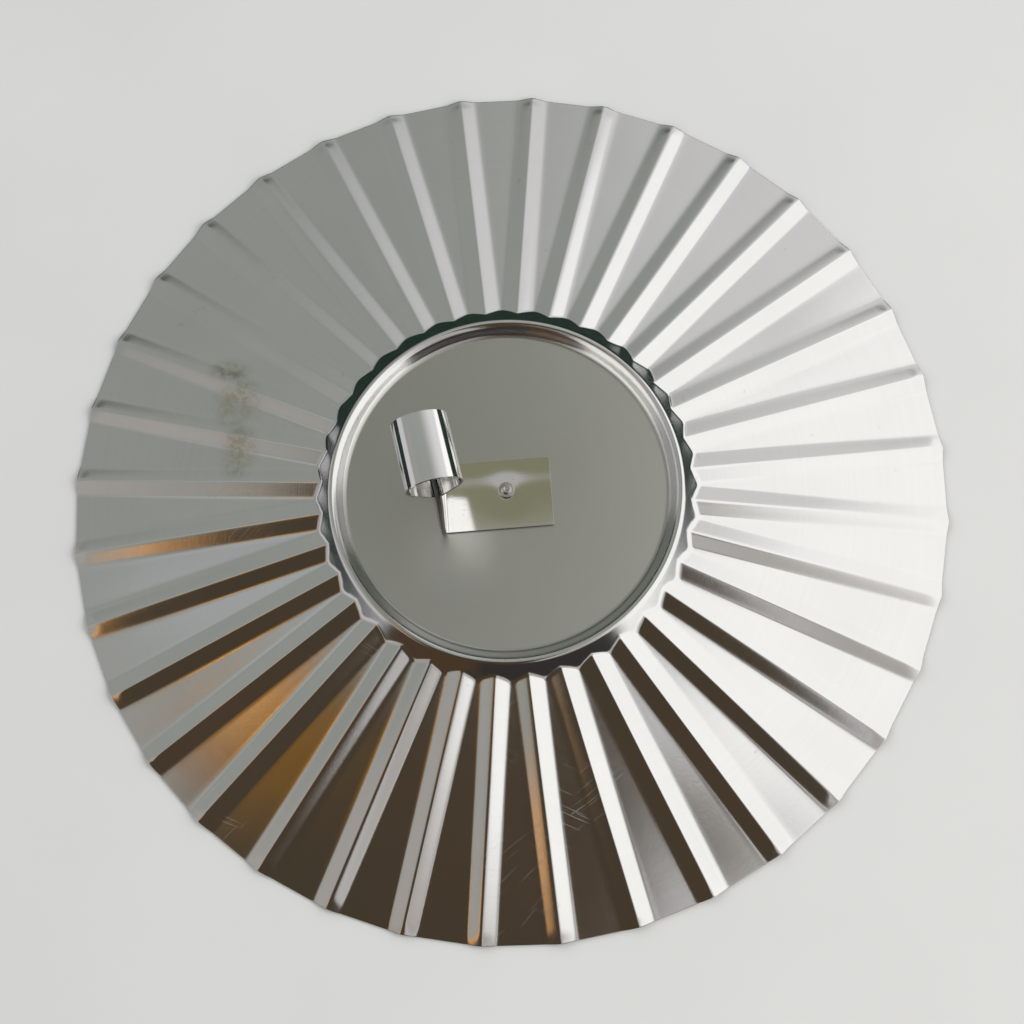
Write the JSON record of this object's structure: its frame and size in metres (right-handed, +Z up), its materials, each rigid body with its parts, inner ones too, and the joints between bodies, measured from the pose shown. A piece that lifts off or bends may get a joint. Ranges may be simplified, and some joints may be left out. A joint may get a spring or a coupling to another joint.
{
  "type": "clip-on lamp reflector",
  "caption": "Shallow round fluted sheet-metal lamp reflector with a raised bead round a flat centre, and a spring tube clip that swivels on one central rivet.",
  "frame": {"origin": "on the dish's axis, in the plane of the rim's lower edge, with the dish lying face down and its clip on top", "axes": "+Z up along the dish's axis, out of its back; +X through the crest of one rib; the clip's plate points 7.5 degrees from +X towards +Y at rest"},
  "size_m": [0.1786, 0.1786, 0.0505],
  "materials": {
    "reflector_dish": "bright pressed skirt and satin centre disc",
    "spring_clip": "bright plated spring strip",
    "rivet": "plain, slightly dull"
  },
  "bodies": {
    "dish": {"reflector_dish": "reflector_dish", "rivet": "rivet"},
    "clip": {"spring_clip": "spring_clip"}
  },
  "joints": [
    {"name": "clip_swivel", "type": "hinge", "parent": "dish", "child": "clip", "pos_m": [0, 0, 0.0094], "axis": [0, 0, 1], "continuous": true}
  ]
}
